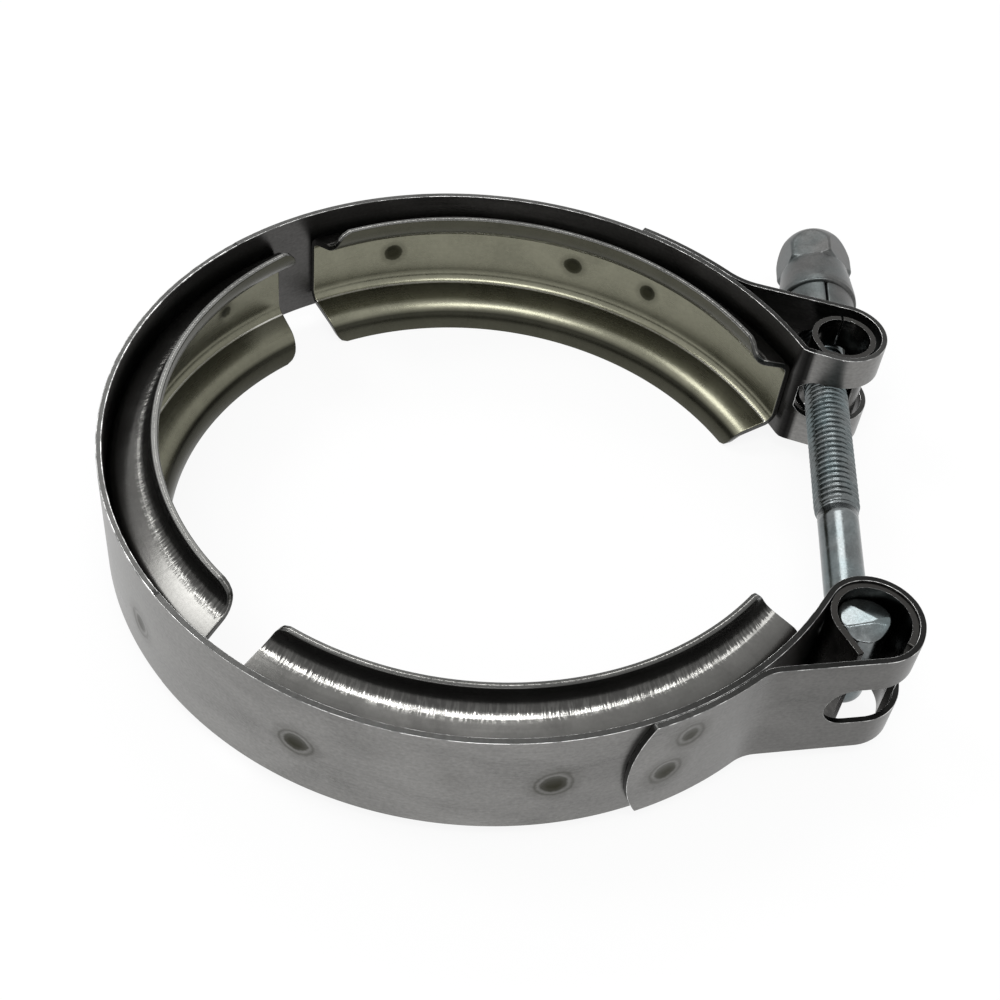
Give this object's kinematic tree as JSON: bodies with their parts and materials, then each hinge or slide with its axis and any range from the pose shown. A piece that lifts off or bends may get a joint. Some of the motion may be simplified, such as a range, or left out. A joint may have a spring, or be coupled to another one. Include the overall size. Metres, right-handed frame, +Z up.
{
  "type": "pipe clamp",
  "caption": "Open V-retainer band clamp for flanged pipe joints, with a T-bolt, trunnion loops, spacer sleeve and lock nut.",
  "frame": {"origin": "on the ring's axis, in the middle plane of the V groove", "axes": "+Z up along the ring's axis, +X towards the T-bolt across the gap, +Y from the bolt's head towards its nut"},
  "size_m": [0.1364, 0.14, 0.0272],
  "materials": {
    "strap_steel": "satin, brushed along the strip",
    "retainer_steel": "satin, pressed",
    "saddle_steel": "polished",
    "zinc_bolt": "bright zinc plate",
    "sleeve_steel": "dark satin",
    "nut_zinc": "satin zinc plate"
  },
  "bodies": {
    "clamp_back": {"band_left_arc": "strap_steel", "retainer_left": "retainer_steel"},
    "near_arm": {"band_near_arc": "strap_steel", "retainer_near": "retainer_steel", "loop_saddle": "saddle_steel"},
    "far_arm": {"band_far_arc": "strap_steel", "retainer_far": "retainer_steel", "far_trunnion": "saddle_steel"},
    "bolt": {"t_bolt": "zinc_bolt"},
    "sleeve": {"spacer_sleeve": "sleeve_steel"},
    "nut": {"lock_nut": "nut_zinc"}
  },
  "joints": [
    {"name": "near_arm_flex", "type": "hinge", "parent": "clamp_back", "child": "near_arm", "pos_m": [-0.03468, -0.0526, 0], "axis": [0, 0, 1], "range_deg": [0, 5.26]},
    {"name": "far_arm_flex", "type": "hinge", "parent": "clamp_back", "child": "far_arm", "pos_m": [-0.04175, 0.04718, 0], "axis": [0, 0, -1], "range_deg": [0, 5.26]},
    {"name": "t_bolt_swivel", "type": "hinge", "parent": "near_arm", "child": "bolt", "pos_m": [0.06345, -0.0288, 0.0014], "axis": [0, 0, -1], "range_deg": [0, 6]},
    {"name": "nut_travel", "type": "slide", "parent": "bolt", "child": "sleeve", "axis": [0.0262, -0.9997, 0], "range_m": [0, 0.01752]},
    {"name": "nut_spin", "type": "hinge", "parent": "sleeve", "child": "nut", "pos_m": [0.06117, 0.05817, 0.0014], "axis": [0.0262, -0.9997, 0], "range_deg": [0, 5040]}
  ],
  "couplings": [
    {"joint": "nut_travel", "follows": "nut_spin", "m_per_rad": 0.00019894},
    {"joint": "near_arm_flex", "follows": "nut_spin", "ratio": 0.0010391},
    {"joint": "far_arm_flex", "follows": "nut_spin", "ratio": 0.0010391},
    {"joint": "t_bolt_swivel", "follows": "nut_spin", "ratio": 0.0011868}
  ]
}
